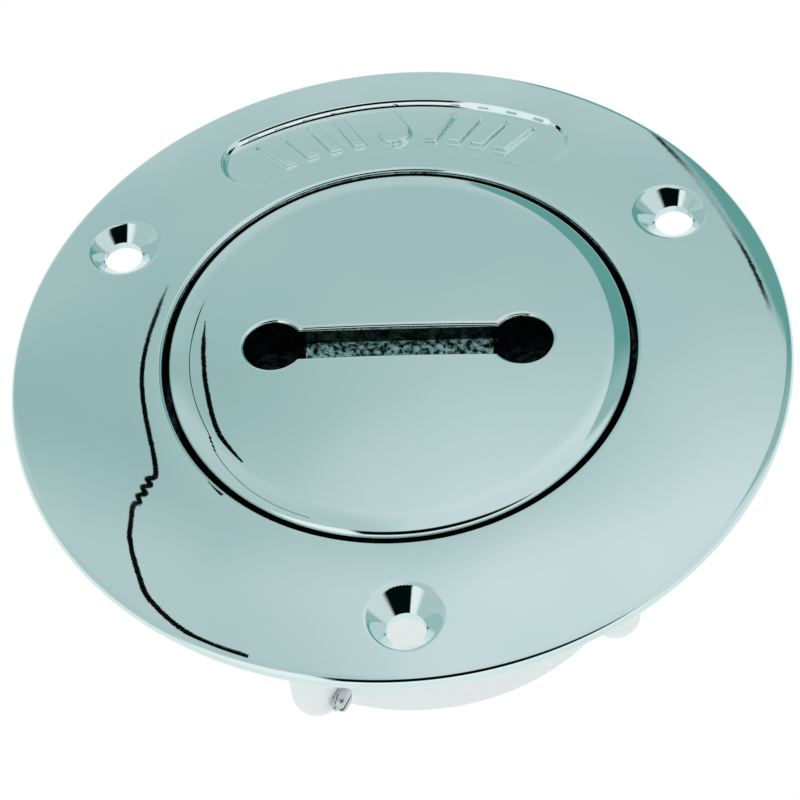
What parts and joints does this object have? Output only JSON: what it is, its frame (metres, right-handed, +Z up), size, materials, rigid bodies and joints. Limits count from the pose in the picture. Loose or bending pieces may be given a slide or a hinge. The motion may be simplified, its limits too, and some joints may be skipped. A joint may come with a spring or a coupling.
{
  "type": "deck fill cap",
  "caption": "Round chromed deck fill flange with a screw-in cap on a chain, a key slot and an angled hose tail below.",
  "frame": {"origin": "centre of the flange's underside, in the plane of the deck", "axes": "+Z up out of the deck along the cap's axis, +Y from the axis to the marked recess, above the hose tail"},
  "size_m": [0.09, 0.099, 0.0833],
  "materials": {
    "chrome_flange": "polished",
    "chrome_cap": "polished",
    "seal_rubber": "matt",
    "steel_wire": "bright",
    "steel_turned": "turned"
  },
  "bodies": {
    "deck_fitting": {"deck_body": "chrome_flange", "anchor_staple": "steel_wire", "bonding_screw": "steel_turned", "bonding_washer": "steel_turned"},
    "swivel": {"swivel_tag": "steel_turned", "swivel_ring": "steel_wire", "chain_link_1": "steel_wire", "chain_link_2": "steel_wire", "chain_link_3": "steel_wire", "chain_link_4": "steel_wire", "chain_link_5": "steel_wire", "chain_link_6": "steel_wire", "chain_link_7": "steel_wire", "chain_link_8": "steel_wire", "chain_link_9": "steel_wire", "chain_link_10": "steel_wire", "anchor_ring": "steel_wire"},
    "fill_cap": {"cap": "chrome_cap", "cap_seal": "seal_rubber", "swivel_screw": "steel_turned", "swivel_washer": "steel_turned"}
  },
  "joints": [
    {"name": "cap_lift", "type": "slide", "parent": "deck_fitting", "child": "swivel", "axis": [0, 0, 1], "range_m": [0, 0.0105]},
    {"name": "cap_spin", "type": "hinge", "parent": "swivel", "child": "fill_cap", "pos_m": [0, 0, 0], "axis": [0, 0, 1], "range_deg": [0, 1260]}
  ],
  "couplings": [
    {"joint": "cap_lift", "follows": "cap_spin", "m_per_rad": 0.00047746}
  ]
}
